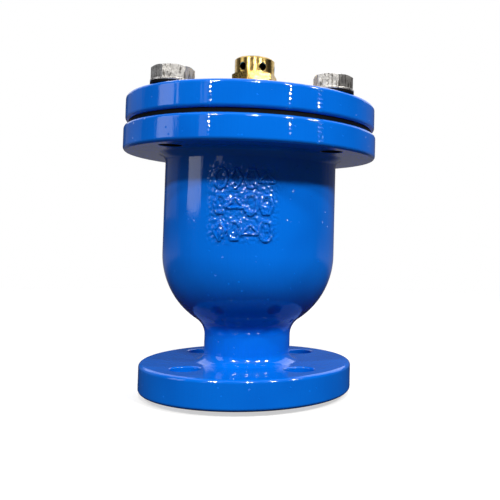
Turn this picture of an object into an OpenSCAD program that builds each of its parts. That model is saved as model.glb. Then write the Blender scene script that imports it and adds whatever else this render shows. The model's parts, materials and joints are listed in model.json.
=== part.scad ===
// Flanged air release valve: a cast bowl with a bolted cover and a brass vent cap.
// Inside, a float hangs on a lever that presses a rubber button against a small orifice.
// The origin is the centre of the pipe flange's raised face, and +Z runs up the valve's axis.

/* [Pipe flange] */
// Outside diameter of the pipe flange
flange_d = 105; // [100:1:120]
// Thickness of the pipe flange above its raised face
flange_t = 14; // [12:0.5:20]
// Diameter of the raised sealing face
raised_d = 56; // [50:1:60]
// Height of the raised sealing face
raised_t = 2; // [1:0.5:4]
// Bolt circle of the pipe flange
flange_bolt_circle = 75; // [74:1:82]
// Diameter of a pipe flange bolt hole
flange_hole_d = 14; // [10:0.5:15]
// Number of pipe flange bolt holes
flange_holes = 4; // [4:4:8]
// Turn of the pipe flange bolt holes, away from the diagonal
flange_turn = -4; // [-15:1:15]
// Bore of the inlet
inlet_d = 20; // [14:1:26]

/* [Bowl] */
// Outside diameter of the bowl
bowl_d = 85.8; // [82:0.2:92]
// Wall of the bowl
bowl_wall = 5.5; // [4:0.1:6.5]
// Length of the bowl's straight side
bowl_straight = 49.5; // [46:0.5:70]
// Radius of the bowl's rounded bottom, in section
knuckle_r = 38.9; // [37:0.1:41]
// Outside diameter of the neck
neck_d = 42.8; // [36:0.2:46]
// Height of the neck's straight side with its foot fillet
neck_h = 12.9; // [9:0.1:25]
// Fillet between neck and bowl
neck_fillet = 10; // [6:0.5:12]
// Fillet between neck and pipe flange
foot_fillet = 5; // [2:0.5:6]
// Fillet between bowl and cover flange
crown_fillet = 4.5; // [2:0.5:6]
// Rounding of the cast edges
edge_r = 1.8; // [0.6:0.1:2.4]

/* [Cover joint] */
// Diameter of the cover
cover_d = 125; // [120:0.5:140]
// How far the body's cover flange stands out past the cover's rim
flange_lip = 0.7; // [0:0.1:2]
// Thickness of the body's cover flange
body_flange_t = 12.3; // [9:0.1:18]
// Thickness of the cover
cover_t = 12.4; // [11:0.1:18]
// Thickness of the gasket
gasket_t = 2.2; // [1:0.1:4]
// Distance of the gasket's rim inside the cover's rim
gasket_inset = 1.6; // [0.5:0.1:3]
// Diameter of the cover's centre boss
boss_d = 34; // [30:1:50]
// Height of the cover's centre boss
boss_h = 8; // [4:0.5:14]
// Fillet at the foot of the boss
boss_fillet = 3; // [1:0.5:4]

/* [Cover bolts] */
// Distance of a bolt's axis inside the cover's rim
bolt_edge = 10.5; // [10:0.1:11.5]
// Number of cover bolts
cover_bolt_count = 4; // [4:1:8]
// Thread diameter of a cover bolt
bolt_d = 10; // [8:1:10]
// Width across the flats of a bolt head
bolt_af = 17; // [13:0.5:17]
// Height of a bolt head
bolt_head_h = 6.4; // [5:0.1:8]
// Length of the bolt below its head
bolt_len = 25; // [20:1:28]
// Outside diameter of a bolt washer
washer_d = 20; // [19:0.2:21]
// Thickness of a bright bolt washer
washer_t = 1; // [0.6:0.1:2.5]
// Thickness of a black washer under the bright one
pad_t = 1.4; // [0.8:0.1:2.5]

/* [Vent cap] */
// Width across the flats of the cap's hexagon
cap_af = 20.5; // [20:0.1:26]
// Height of the cap's hexagon
cap_hex_h = 6.8; // [5:0.1:12]
// Diameter of the cap's round hood
cap_d = 20.4; // [17:0.1:20.4]
// Height of the cap's round hood
cap_h = 7.6; // [6:0.1:14]
// Thread diameter of the cap
cap_thread_d = 16.6; // [14:0.2:17]
// Bore inside the cap
cap_bore_d = 11; // [8:0.5:12]
// Thickness of the hood's top
cap_roof_t = 2; // [1.4:0.1:3]
// Diameter of a vent hole
vent_d = 3.8; // [2:0.1:4]
// Number of vent holes
vent_count = 6; // [3:1:8]
// Height of the vent holes above the hexagon
vent_h = 2.3; // [2.2:0.1:3]
// Thickness of the sealing washer under the cap
cap_seal_t = 1.5; // [1:0.1:3]

/* [Orifice nozzle] */
// Diameter of the orifice
orifice_d = 2; // [1.2:0.1:3]
// Thread diameter of the nozzle
nozzle_thread_d = 12; // [10:0.5:13]
// Width across the flats of the nozzle
nozzle_af = 17; // [17:0.5:19]
// Height of the nozzle's hexagon
nozzle_hex_h = 4; // [3:0.1:6]
// Diameter of the nozzle's seat
seat_d = 7; // [5:0.1:8]
// Height of the nozzle's seat
seat_h = 2.4; // [1.5:0.1:4]

/* [Lever] */
// Distance of the lever's pivot from the valve's axis
pivot_offset = 22; // [20:0.5:23]
// Distance of the float's pin from the valve's axis
float_offset = 7.5; // [7:0.25:9]
// Angle of the lever below level when the valve is open
open_angle = 8; // [4:0.5:8]
// Width of the lever
lever_w = 12; // [11:0.5:14]
// Thickness of the lever's bar
lever_t = 5; // [4:0.1:6]
// Radius of the lever's hub
hub_r = 4.5; // [4:0.1:5.5]
// Radius of the lever's eye
eye_r = 3.6; // [3.2:0.1:4]
// Diameter of the pivot pin
pivot_d = 4; // [3:0.1:5]
// Diameter of the float pin
float_pin_d = 3; // [2:0.1:3.4]

/* [Bracket] */
// Thickness of the bracket's sheet
sheet_t = 2; // [1.5:0.1:3]
// Width of the bracket's ears
ear_w = 20; // [16:0.5:20]
// Diameter of a bracket screw
bracket_screw_d = 4; // [3:0.5:5]

/* [Seal button] */
// Diameter of the rubber button
button_d = 9; // [8.4:0.1:10]
// Thickness of the rubber button
button_t = 3; // [2:0.1:4]
// Height that the button stands out of its cup
button_proud = 1; // [0.5:0.1:1.5]
// Wall of the button's cup
cup_wall = 1.5; // [1:0.1:2]
// Thread diameter of the cup's stem
stem_d = 4; // [3:0.1:4.2]
// Height of the lock nut
holder_nut_h = 3; // [2:0.1:4]

/* [Float] */
// Diameter of the float ball
float_d = 46; // [40:0.5:46]
// Wall of the float ball
float_wall = 0.8; // [0.6:0.1:2]
// Thickness of the float's eye
lug_t = 4; // [3:0.1:5]

/* [Clearances] */
// Radial clearance of a pin that turns in its bore
pin_clear = 0.04; // [0.02:0.01:0.08]
// Radial clearance of a threaded shank in its hole
thread_clear = 0.15; // [0.1:0.05:0.2]
// Radial clearance of a bolt in the cover
bolt_clear = 0.5; // [0.3:0.1:0.8]
// Gap between moving pieces that pass each other
side_gap = 0.4; // [0.3:0.05:0.6]
// Gap that is left between the button and its seat when the valve is closed
seat_gap = 0.3; // [0.3:0.05:0.5]

/* [Hidden] */
$fn = 96;

// Number of straight steps in a rounded profile
arc_steps = 10;
// Overlap of a cut past the face it starts from
cut = 1;
// Direction of the first hole of each bolt circle, half way between the front and the side
diagonal = 45;

// Heights up the valve's axis
z_flange_top = raised_t + flange_t;
z_neck_top = z_flange_top + neck_h;
knuckle_x = bowl_d / 2 - knuckle_r;
fillet_x = neck_d / 2 + neck_fillet;
z_knuckle = z_neck_top + sqrt(pow(knuckle_r + neck_fillet, 2) - pow(fillet_x - knuckle_x, 2));
z_bowl_top = z_knuckle + bowl_straight;
z_body_top = z_bowl_top + body_flange_t;
z_cover = z_body_top + gasket_t;
z_cover_top = z_cover + cover_t;
z_boss_top = z_cover_top + boss_h;
z_cap = z_boss_top + cap_seal_t;
z_hood = z_cap + cap_hex_h;

// Bowl cavity
mouth_d = bowl_d - 2 * bowl_wall;
mouth_chamfer = 1;
inner_knuckle_r = knuckle_r - bowl_wall;
neck_angle = atan2(z_knuckle - z_neck_top, knuckle_x - fillet_x);
inlet_angle = acos((inlet_d / 2 - knuckle_x) / inner_knuckle_r);

// Cover bolt joint
body_flange_d = cover_d + 2 * flange_lip;
cover_bolt_circle = cover_d - 2 * bolt_edge;
z_bolt_head = z_cover_top + pad_t + washer_t;
bolt_hole_d = bolt_d + 2 * bolt_clear;
bolt_turn = 23;
bolt_tip = 1;

// Chamfer on top of a hexagon: its steepness, and the share of the flats' width that stays flat
chamfer_slope = 0.45;
flat_share = 0.97;

// Vent cap, with one vent hole to the right of the front
thread_past_boss = 2;
cap_thread_len = boss_h + thread_past_boss;
cap_bore_len = cap_thread_len + cap_seal_t + cap_hex_h + cap_h - cap_roof_t;
cap_chamfer = 0.8;
cap_turn = 14;
vent_start = -67;

// Nozzle, screwed through the bracket's plate into the cover
nozzle_cap_gap = 1.5;
nozzle_thread_len = cover_t + boss_h - cap_thread_len - nozzle_cap_gap;
nozzle_throat_d = 6;
nozzle_throat_floor = 3;
seat_taper = 1;
z_nozzle = z_cover - sheet_t;
z_seat = z_nozzle - nozzle_hex_h - seat_h;
seal_ring_d = 2;
seal_ring_depth = 1.5;

// Seal button stack on the lever, measured up from the pivot with the lever level
z_nut = lever_t / 2;
z_cup = z_nut + holder_nut_h;
cup_floor = 1.5;
z_button = z_cup + cup_floor;
z_button_top = z_button + button_t;
cup_d = button_d + 2 * (cup_wall + thread_clear);
holder_nut_share = 1.75;
holder_nut_af = stem_d * holder_nut_share;

// Pivot and float pin
pivot_x = -pivot_offset;
z_pivot = z_seat - seat_gap - z_button_top;
eye_arm = pivot_offset + float_offset;
float_x = pivot_x + eye_arm * cos(open_angle);
z_float_pin = z_pivot - eye_arm * sin(open_angle);

// Bracket
ear_y = lever_w / 2 + side_gap;
ear_shift = 4;
ear_x = pivot_x - ear_w / 2 + ear_shift;
ear_drop = 7.5;
ear_bottom = z_pivot - ear_drop;
ear_corner = 4;
ear_slope = 2;
stop_w = 3;
stop_gap = 0.3;
stop_x = ear_x + ear_w - stop_w;
stop_arm = stop_x + stop_w - pivot_x;
z_stop = z_pivot - stop_arm * tan(open_angle) - lever_t / 2 / cos(open_angle) - stop_gap;
plate_half = 17;
nose_half = 11;
nose_x = 12;
screw_clear = 4.5;
screw_y = ear_y + sheet_t + screw_clear;
screw_x = ear_x + ear_w / 2;
screw_head_d = 7;
screw_head_h = 2.6;
screw_len = 8;
screw_end_gap = 0.5;
screw_hole_depth = screw_len - sheet_t + screw_end_gap;

// Pins and clips
pin_head_t = 1.4;
pin_head_share = 1.7;
pin_end = 0.8;
groove_play = 0.1;
clip_t = 0.8;
clip_mouth_share = 0.7;
clip_rim = 1.8;
groove_depth = 0.4;

// Float
slot_w = lug_t + 2 * side_gap;
slot_web = 0.9;
slot_x = pivot_offset + stem_d / 2 + slot_web;
lug_eye_r = eye_r;
lug_neck_share = 0.8;
lug_base_t = 1.2;
lug_base_d = 10;
lug_base_gap = 0.8;
lug_drop = eye_r + lug_base_gap;
boss_rise = 0.6;
z_float_top = z_float_pin - lug_drop - lug_base_t;
z_float = z_float_top - boss_rise - float_d / 2;

// Points of an arc, from angle a0 to angle a1
function arc(x, z, r, a0, a1) =
    [for (i = [0:arc_steps]) let (a = a0 + (a1 - a0) * i / arc_steps) [x + r * cos(a), z + r * sin(a)]];

// Rim of a disc with rounded edges, from its bottom to its top
function rim(r, z0, z1) =
    concat(arc(r - edge_r, z0 + edge_r, edge_r, -90, 0), arc(r - edge_r, z1 - edge_r, edge_r, 0, 90));

module ring_of(count, circle_d, start) {
    for (i = [0:count - 1])
        rotate([0, 0, start + i * 360 / count])
            translate([circle_d / 2, 0, 0])
                children();
}

module tube(d, bore, h) {
    difference() {
        cylinder(d = d, h = h);
        translate([0, 0, -cut])
            cylinder(d = bore, h = h + 2 * cut);
    }
}

module hexagon(af, h) {
    cylinder(d = af / cos(30), h = h, $fn = 6);
}

// Hexagon with its top corners turned down to a cone
module hex_head(af, h) {
    flat_r = flat_share * af / 2;
    corner = af / cos(30) / 2;
    outer = corner + cut;
    drop = (outer - flat_r) * chamfer_slope;
    intersection() {
        hexagon(af, h);
        rotate_extrude()
            polygon([[0, 0], [outer, 0], [outer, h - drop], [flat_r, h], [0, h]]);
    }
}

// Bar along Y, centred on the XZ plane, from an outline in X and Z
module across(width) {
    rotate([90, 0, 0])
        linear_extrude(width, center = true)
            children();
}

// Round bar along Y, from y0 to y1
module round_bar(d, y0, y1) {
    translate([0, y1, 0])
        rotate([90, 0, 0])
            cylinder(d = d, h = y1 - y0);
}

// Headed pin along Y with a clip groove near its far end
module headed_pin(d, half_len) {
    groove_end = half_len + clip_t + groove_play;
    round_bar(d * pin_head_share, -half_len - pin_head_t, -half_len);
    round_bar(d, -half_len, half_len);
    round_bar(d - 2 * groove_depth, half_len, groove_end);
    round_bar(d, groove_end, groove_end + pin_end);
}

// Open clip that sits in the groove of a headed pin
module pin_clip(d, half_len) {
    seat = d - 2 * groove_depth;
    mouth = seat * clip_mouth_share;
    difference() {
        round_bar(d + 2 * clip_rim, half_len, half_len + clip_t);
        round_bar(seat + 2 * pin_clear, half_len - cut, half_len + clip_t + cut);
        translate([0, half_len - cut, -mouth / 2])
            cube([d + clip_rim, clip_t + 2 * cut, mouth]);
    }
}

// Places its children, drawn with the lever level and the pivot at the origin, at the open valve
module on_lever() {
    translate([pivot_x, 0, z_pivot])
        rotate([0, open_angle, 0])
            children();
}

module on_float() {
    translate([float_x, 0, z_float_pin])
        children();
}

body_outside = concat(
    [[inlet_d / 2, 0], [raised_d / 2, 0], [raised_d / 2, raised_t]],
    rim(flange_d / 2, raised_t, z_flange_top),
    arc(neck_d / 2 + foot_fillet, z_flange_top + foot_fillet, foot_fillet, 270, 180),
    arc(fillet_x, z_neck_top, neck_fillet, 180, neck_angle),
    arc(knuckle_x, z_knuckle, knuckle_r, neck_angle - 180, 0),
    arc(bowl_d / 2 + crown_fillet, z_bowl_top - crown_fillet, crown_fillet, 180, 90),
    rim(body_flange_d / 2, z_bowl_top, z_body_top)
);
body_inside = concat(
    [[mouth_d / 2 + mouth_chamfer, z_body_top], [mouth_d / 2, z_body_top - mouth_chamfer]],
    arc(knuckle_x, z_knuckle, inner_knuckle_r, 0, -inlet_angle)
);

module valve_body() {
    color("dodgerblue")
        difference() {
            rotate_extrude()
                polygon(concat(body_outside, body_inside));
            ring_of(flange_holes, flange_bolt_circle, diagonal + flange_turn)
                translate([0, 0, -cut])
                    cylinder(d = flange_hole_d, h = z_flange_top + 2 * cut);
            ring_of(cover_bolt_count, cover_bolt_circle, diagonal)
                translate([0, 0, z_bowl_top - cut])
                    cylinder(d = bolt_d + 2 * thread_clear, h = body_flange_t + 2 * cut);
        }
}

module cover() {
    color("dodgerblue")
        difference() {
            rotate_extrude()
                polygon(concat(
                    [[0, z_cover]],
                    rim(cover_d / 2, z_cover, z_cover_top),
                    arc(boss_d / 2 + boss_fillet, z_cover_top + boss_fillet, boss_fillet, 270, 180),
                    arc(boss_d / 2 - edge_r, z_boss_top - edge_r, edge_r, 0, 90),
                    [[0, z_boss_top]]
                ));
            ring_of(cover_bolt_count, cover_bolt_circle, diagonal)
                translate([0, 0, z_cover - cut])
                    cylinder(d = bolt_hole_d, h = cover_t + 2 * cut);
            translate([0, 0, z_boss_top - cap_thread_len - thread_clear])
                cylinder(d = cap_thread_d + 2 * thread_clear, h = cap_thread_len + cut);
            translate([0, 0, z_cover - cut])
                cylinder(d = nozzle_thread_d + 2 * thread_clear, h = cover_t + boss_h);
            translate([0, 0, z_cover])
                rotate_extrude()
                    translate([nozzle_thread_d / 2, 0])
                        square([seal_ring_d + thread_clear, seal_ring_depth]);
            for (side = [-1, 1])
                translate([screw_x, side * screw_y, z_cover - cut])
                    cylinder(d = bracket_screw_d + 2 * thread_clear, h = screw_hole_depth + cut);
        }
}

module cover_gasket() {
    color("black")
        translate([0, 0, z_body_top])
            difference() {
                tube(cover_d - 2 * gasket_inset, mouth_d + 2 * mouth_chamfer, gasket_t);
                ring_of(cover_bolt_count, cover_bolt_circle, diagonal)
                    translate([0, 0, -cut])
                        cylinder(d = bolt_hole_d, h = gasket_t + 2 * cut);
            }
}

module cover_bolts() {
    color("silver")
        for (i = [0:cover_bolt_count - 1])
            rotate([0, 0, diagonal + i * 360 / cover_bolt_count])
                translate([cover_bolt_circle / 2, 0, z_bolt_head])
                    rotate([0, 0, bolt_turn]) {
                        hex_head(bolt_af, bolt_head_h);
                        translate([0, 0, -bolt_len])
                            rotate_extrude()
                                polygon([
                                    [0, 0], [bolt_d / 2 - bolt_tip, 0], [bolt_d / 2, bolt_tip],
                                    [bolt_d / 2, bolt_len + cut], [0, bolt_len + cut]
                                ]);
                    }
}

module bolt_washers() {
    color("gainsboro")
        ring_of(cover_bolt_count, cover_bolt_circle, diagonal)
            translate([0, 0, z_cover_top + pad_t])
                tube(washer_d, bolt_hole_d, washer_t);
}

module bolt_pads() {
    color("black")
        ring_of(cover_bolt_count, cover_bolt_circle, diagonal)
            translate([0, 0, z_cover_top])
                tube(washer_d, bolt_hole_d, pad_t);
}

module vent_cap() {
    color("gold")
        difference() {
            union() {
                translate([0, 0, z_cap])
                    rotate([0, 0, cap_turn])
                        hex_head(cap_af, cap_hex_h);
                translate([0, 0, z_hood - cut])
                    rotate_extrude()
                        polygon([
                            [0, 0], [cap_d / 2, 0], [cap_d / 2, cap_h + cut - cap_chamfer],
                            [cap_d / 2 - cap_chamfer, cap_h + cut], [0, cap_h + cut]
                        ]);
                translate([0, 0, z_boss_top - cap_thread_len])
                    cylinder(d = cap_thread_d, h = cap_thread_len + cap_seal_t + cut);
            }
            translate([0, 0, z_boss_top - cap_thread_len - cut])
                cylinder(d = cap_bore_d, h = cap_bore_len + cut);
            for (i = [0:vent_count - 1])
                translate([0, 0, z_hood + vent_h])
                    rotate([0, 90, vent_start + i * 360 / vent_count])
                        cylinder(d = vent_d, h = cap_d);
        }
}

module cap_seal() {
    color("peru")
        translate([0, 0, z_boss_top])
            tube(cap_af, cap_thread_d + 2 * thread_clear, cap_seal_t);
}

module orifice_nozzle() {
    color("goldenrod")
        difference() {
            union() {
                translate([0, 0, z_nozzle - nozzle_hex_h])
                    hexagon(nozzle_af, nozzle_hex_h);
                translate([0, 0, z_nozzle - cut])
                    cylinder(d = nozzle_thread_d, h = sheet_t + nozzle_thread_len + cut);
                translate([0, 0, z_seat])
                    cylinder(d1 = seat_d - 2 * seat_taper, d2 = seat_d, h = seat_h + cut);
            }
            translate([0, 0, z_seat - cut])
                cylinder(d = orifice_d, h = seat_h + nozzle_throat_floor + 2 * cut);
            translate([0, 0, z_nozzle - nozzle_hex_h + nozzle_throat_floor])
                cylinder(d = nozzle_throat_d, h = nozzle_hex_h + sheet_t + nozzle_thread_len);
        }
}

module nozzle_seal() {
    color("dimgray")
        translate([0, 0, z_cover])
            tube(nozzle_thread_d + 2 * seal_ring_d, nozzle_thread_d + thread_clear, seal_ring_depth);
}

module lever_bracket() {
    color("lightsteelblue")
        difference() {
            union() {
                translate([0, 0, z_cover - sheet_t])
                    linear_extrude(sheet_t)
                        polygon([
                            [ear_x, -plate_half], [ear_x + ear_w, -plate_half], [nose_x, -nose_half],
                            [nose_x, nose_half], [ear_x + ear_w, plate_half], [ear_x, plate_half]
                        ]);
                for (side = [-1, 1])
                    translate([0, side * (ear_y + sheet_t / 2), 0])
                        across(sheet_t)
                            polygon([
                                [ear_x, z_cover - sheet_t / 2], [ear_x, ear_bottom + ear_corner],
                                [ear_x + ear_corner, ear_bottom],
                                [ear_x + ear_w - ear_corner, ear_bottom - ear_slope],
                                [ear_x + ear_w, ear_bottom], [ear_x + ear_w, z_cover - sheet_t / 2]
                            ]);
                translate([stop_x, -ear_y - cut, z_stop - sheet_t])
                    cube([stop_w, 2 * (ear_y + cut), sheet_t]);
            }
            translate([0, 0, z_cover - sheet_t - cut])
                cylinder(d = nozzle_thread_d + 2 * thread_clear, h = sheet_t + 2 * cut);
            for (side = [-1, 1])
                translate([screw_x, side * screw_y, z_cover - sheet_t - cut])
                    cylinder(d = bracket_screw_d + 2 * thread_clear, h = sheet_t + 2 * cut);
            translate([pivot_x, 0, z_pivot])
                round_bar(pivot_d + 2 * pin_clear, -lever_w, lever_w);
        }
}

module bracket_screws() {
    color("silver")
        for (side = [-1, 1])
            translate([screw_x, side * screw_y, z_cover - sheet_t]) {
                translate([0, 0, -screw_head_h])
                    cylinder(d = screw_head_d, h = screw_head_h);
                translate([0, 0, -cut])
                    cylinder(d = bracket_screw_d, h = screw_len + cut);
            }
}

module pivot_pin() {
    color("silver")
        translate([pivot_x, 0, z_pivot])
            headed_pin(pivot_d, ear_y + sheet_t);
}

module pivot_clip() {
    color("slategray")
        translate([pivot_x, 0, z_pivot])
            pin_clip(pivot_d, ear_y + sheet_t);
}

module lever() {
    color("lightsteelblue")
        on_lever()
            difference() {
                across(lever_w)
                    union() {
                        circle(r = hub_r);
                        translate([0, -lever_t / 2])
                            square([eye_arm, lever_t]);
                        translate([eye_arm, 0])
                            circle(r = eye_r);
                    }
                round_bar(pivot_d + 2 * pin_clear, -lever_w, lever_w);
                translate([eye_arm, 0, 0])
                    round_bar(float_pin_d + 2 * pin_clear, -lever_w, lever_w);
                translate([slot_x, -slot_w / 2, -2 * eye_r])
                    cube([eye_arm, slot_w, 4 * eye_r]);
                translate([pivot_offset, 0, -lever_t])
                    cylinder(d = stem_d + 2 * thread_clear, h = 2 * lever_t);
            }
}

module seal_holder() {
    color("goldenrod")
        on_lever()
            translate([pivot_offset, 0, 0])
                difference() {
                    union() {
                        translate([0, 0, -lever_t / 2])
                            cylinder(d = stem_d, h = lever_t / 2 + z_cup + cut);
                        translate([0, 0, z_cup])
                            cylinder(d = cup_d, h = cup_floor + button_t - button_proud);
                    }
                    translate([0, 0, z_button])
                        cylinder(d = button_d + 2 * thread_clear, h = button_t);
                }
}

module seal_button() {
    color("black")
        on_lever()
            translate([pivot_offset, 0, z_button])
                cylinder(d = button_d, h = button_t);
}

module holder_nut() {
    color("silver")
        on_lever()
            translate([pivot_offset, 0, z_nut])
                difference() {
                    hexagon(holder_nut_af, holder_nut_h);
                    translate([0, 0, -cut])
                        cylinder(d = stem_d + 2 * thread_clear, h = holder_nut_h + 2 * cut);
                }
}

module float_ball() {
    color("whitesmoke")
        translate([float_x, 0, z_float])
            difference() {
                union() {
                    sphere(d = float_d);
                    cylinder(d = lug_base_d, h = float_d / 2 + boss_rise);
                }
                sphere(d = float_d - 2 * float_wall);
            }
}

module float_lug() {
    lug_neck = lug_eye_r * lug_neck_share;
    color("lightsteelblue")
        on_float() {
            difference() {
                across(lug_t)
                    union() {
                        circle(r = lug_eye_r);
                        translate([-lug_neck, -lug_drop - lug_base_t / 2])
                            square([2 * lug_neck, lug_drop + lug_base_t / 2]);
                    }
                round_bar(float_pin_d + 2 * pin_clear, -lug_t, lug_t);
            }
            translate([0, 0, -lug_drop - lug_base_t])
                cylinder(d = lug_base_d, h = lug_base_t);
        }
}

module float_pin() {
    color("silver")
        on_float()
            headed_pin(float_pin_d, lever_w / 2 + side_gap);
}

module float_clip() {
    color("slategray")
        on_float()
            pin_clip(float_pin_d, lever_w / 2 + side_gap);
}

valve_body();
cover();
cover_gasket();
cover_bolts();
bolt_washers();
bolt_pads();
vent_cap();
cap_seal();
orifice_nozzle();
nozzle_seal();
lever_bracket();
bracket_screws();
pivot_pin();
pivot_clip();
lever();
seal_holder();
seal_button();
holder_nut();
float_ball();
float_lug();
float_pin();
float_clip();
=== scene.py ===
"""Dresses a flanged air release valve: blue castings, zinc bolts, a brass vent cap and its float."""

import json
import math

import bmesh
import bpy
from bpy.props import FloatProperty, FloatVectorProperty, IntProperty, PointerProperty
from mathutils import Euler, Matrix, Vector, noise


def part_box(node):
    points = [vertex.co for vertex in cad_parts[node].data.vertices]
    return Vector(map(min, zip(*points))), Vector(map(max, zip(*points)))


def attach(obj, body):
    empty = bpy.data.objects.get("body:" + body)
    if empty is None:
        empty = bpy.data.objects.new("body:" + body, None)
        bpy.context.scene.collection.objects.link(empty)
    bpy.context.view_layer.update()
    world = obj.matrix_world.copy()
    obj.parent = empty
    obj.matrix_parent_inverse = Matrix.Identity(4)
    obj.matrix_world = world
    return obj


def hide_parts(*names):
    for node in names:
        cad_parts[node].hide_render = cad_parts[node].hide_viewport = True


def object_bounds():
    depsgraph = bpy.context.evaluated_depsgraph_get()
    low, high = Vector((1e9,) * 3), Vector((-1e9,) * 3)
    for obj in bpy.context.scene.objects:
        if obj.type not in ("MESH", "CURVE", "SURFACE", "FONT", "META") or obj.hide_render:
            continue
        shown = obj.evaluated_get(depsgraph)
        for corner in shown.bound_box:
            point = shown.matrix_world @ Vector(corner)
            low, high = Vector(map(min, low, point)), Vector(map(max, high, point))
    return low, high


bl_info = {
    "name": "Air release valve",
    "version": (1, 0, 0),
    "blender": (4, 5, 0),
    "location": "3D View > Sidebar > Valve",
    "description": "Builds the finish of a flanged air release valve on its packed frame",
    "category": "Object",
}

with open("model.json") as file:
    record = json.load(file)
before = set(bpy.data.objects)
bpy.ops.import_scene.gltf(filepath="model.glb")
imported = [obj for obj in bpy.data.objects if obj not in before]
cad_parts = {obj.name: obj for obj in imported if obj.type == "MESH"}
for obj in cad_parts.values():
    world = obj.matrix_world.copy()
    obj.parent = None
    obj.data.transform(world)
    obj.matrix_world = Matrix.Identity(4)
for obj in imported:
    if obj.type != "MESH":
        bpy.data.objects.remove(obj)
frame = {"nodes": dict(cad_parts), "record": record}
CAD_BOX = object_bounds()

MM = 0.001
ROUND_SEGMENTS = 192
SMALL_SEGMENTS = 64
SHARP_ANGLE = math.radians(32)
NORMAL_WEIGHT = 80
# Points nearer to each other than this are one point
MERGE = 1e-7

# Castings: radius outside which the skin is rough from the mould, and height over which its waves fade
SKIN_R = 20 * MM
SKIN_FADE = 2 * MM

# Hexagon heads: rounding of the upright edges, share of the width that stays flat, slope of the turned
# corners, and width and drop of the crest between them
HEX_EDGE = 0.3 * MM
HEX_FLAT = 0.96
HEX_SLOPE = math.radians(28)
HEX_CREST = (0.15 * MM, 0.02 * MM)

MOUNTS = {mount["name"]: mount for mount in frame["record"]["mounts"]}
PIPE_BOLTS = MOUNTS["pipe_flange_bolts"]["dims"]
INLET = MOUNTS["inlet"]["dims"]


def low(node):
    """Height of a node's lowest point."""
    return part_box(node)[0].z


def high(node):
    """Height of a node's highest point."""
    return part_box(node)[1].z


def reach(node):
    """Largest distance of a round node from the valve's axis."""
    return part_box(node)[1].x


# Properties

def length(name, description, millimetres):
    """A size, given in millimetres."""
    return FloatProperty(
        name=name, description=description, default=millimetres * MM, min=0.0, precision=5, unit="LENGTH"
    )


def angle(name, description, degrees):
    """An angle, given in degrees."""
    return FloatProperty(name=name, description=description, default=math.radians(degrees), unit="ROTATION")


def count(name, description, number):
    """A number of copies."""
    return IntProperty(name=name, description=description, default=number, min=1, subtype="UNSIGNED")


def factor(name, description, number):
    """A share or strength without a unit."""
    return FloatProperty(name=name, description=description, default=number, subtype="FACTOR")


def colour(name, description, rgb):
    """A scene-linear colour."""
    return FloatVectorProperty(
        name=name, description=description, default=rgb, size=3, min=0.0, max=1.0, subtype="COLOR"
    )


def fields(group):
    """The properties of a group that this script defines."""
    return [item for item in group.bl_rna.properties if item.identifier not in ("rna_type", "name")]


class CastingSizes(bpy.types.PropertyGroup):
    """Sizes of the cast body and its cover."""

    flange_r: length("Pipe flange radius", "Outside radius of the pipe flange", 52.5)
    flange_t: length("Pipe flange thickness", "Thickness of the pipe flange above its raised face", 14)
    raised_r: length("Raised face radius", "Radius of the raised sealing face", 28)
    raised_t: length("Raised face height", "Height of the raised sealing face", 2)
    groove_t: length("Groove depth", "Depth of a turned groove in the sealing face", 0.35)
    groove_gap: length("Groove spacing", "Distance between the turned grooves", 2.2)
    pipe_hole_turn: angle("Pipe hole direction", "Direction of the first pipe flange hole", 41)
    bowl_r: length("Bowl radius", "Outside radius of the bowl", 42.9)
    bowl_wall: length("Bowl wall", "Wall of the bowl", 5.5)
    bowl_straight: length("Bowl side", "Length of the bowl's straight side", 49.5)
    knuckle_r: length("Bowl bottom radius", "Radius of the bowl's rounded bottom, in section", 38.9)
    neck_r: length("Neck radius", "Outside radius of the neck", 21.4)
    neck_h: length("Neck height", "Height of the neck with its foot fillet", 12.9)
    neck_fillet: length("Neck fillet", "Fillet between neck and bowl", 10)
    foot_fillet: length("Foot fillet", "Fillet between neck and pipe flange", 5)
    crown_fillet: length("Crown fillet", "Fillet between bowl and cover flange", 4.5)
    edge_r: length("Edge rounding", "Rounding of the cast edges", 1.8)
    mouth_chamfer: length("Mouth chamfer", "Chamfer at the bowl's mouth", 1)
    hole_lip: length("Hole lip", "Rounding of the enamel at the lip of a hole", 0.9)
    wave: length("Casting wave", "Height of the slight waves of the cast skin", 0.10)
    wave_gap: length("Wave spacing", "Distance between the waves of the cast skin", 17)
    cover_t: length("Cover thickness", "Thickness of the cover without its boss", 12.4)
    boss_r: length("Boss radius", "Radius of the cover's centre boss", 17)
    boss_fillet: length("Boss fillet", "Fillet at the foot of the boss", 3)
    cap_hole_r: length("Cap hole radius", "Radius of the threaded hole for the vent cap", 8.45)
    cap_hole_t: length("Cap hole depth", "Depth of the threaded hole for the vent cap", 10.15)
    nozzle_hole_r: length("Nozzle hole radius", "Radius of the hole for the orifice nozzle", 6.15)
    seal_recess_r: length("Seal recess radius", "Radius of the recess for the nozzle's ring", 8.15)
    seal_recess_t: length("Seal recess depth", "Depth of the recess for the nozzle's ring", 1.5)


class MarkSizes(bpy.types.PropertyGroup):
    """Sizes of the plain raised marks cast on the bowl."""

    columns: count("Columns", "Marks in a row", 4)
    rows: count("Rows", "Rows of marks", 3)
    pitch: length("Pitch", "Distance between the marks of a row", 7.0)
    row_pitch: length("Row pitch", "Distance between the rows", 11.9)
    middle_h: length("Middle height", "Height of the middle row above the pipe", 92.6)
    turn: angle("Turn", "Turn of the rows from the front to the right", -4.8)
    radius: length("Mark radius", "Half the height of one mark", 4.6)
    stroke: length("Stroke", "Width of the raised line of a mark", 1.8)
    sink: length("Sink", "Depth of the line's middle under the bowl's skin", 0.1)


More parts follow.
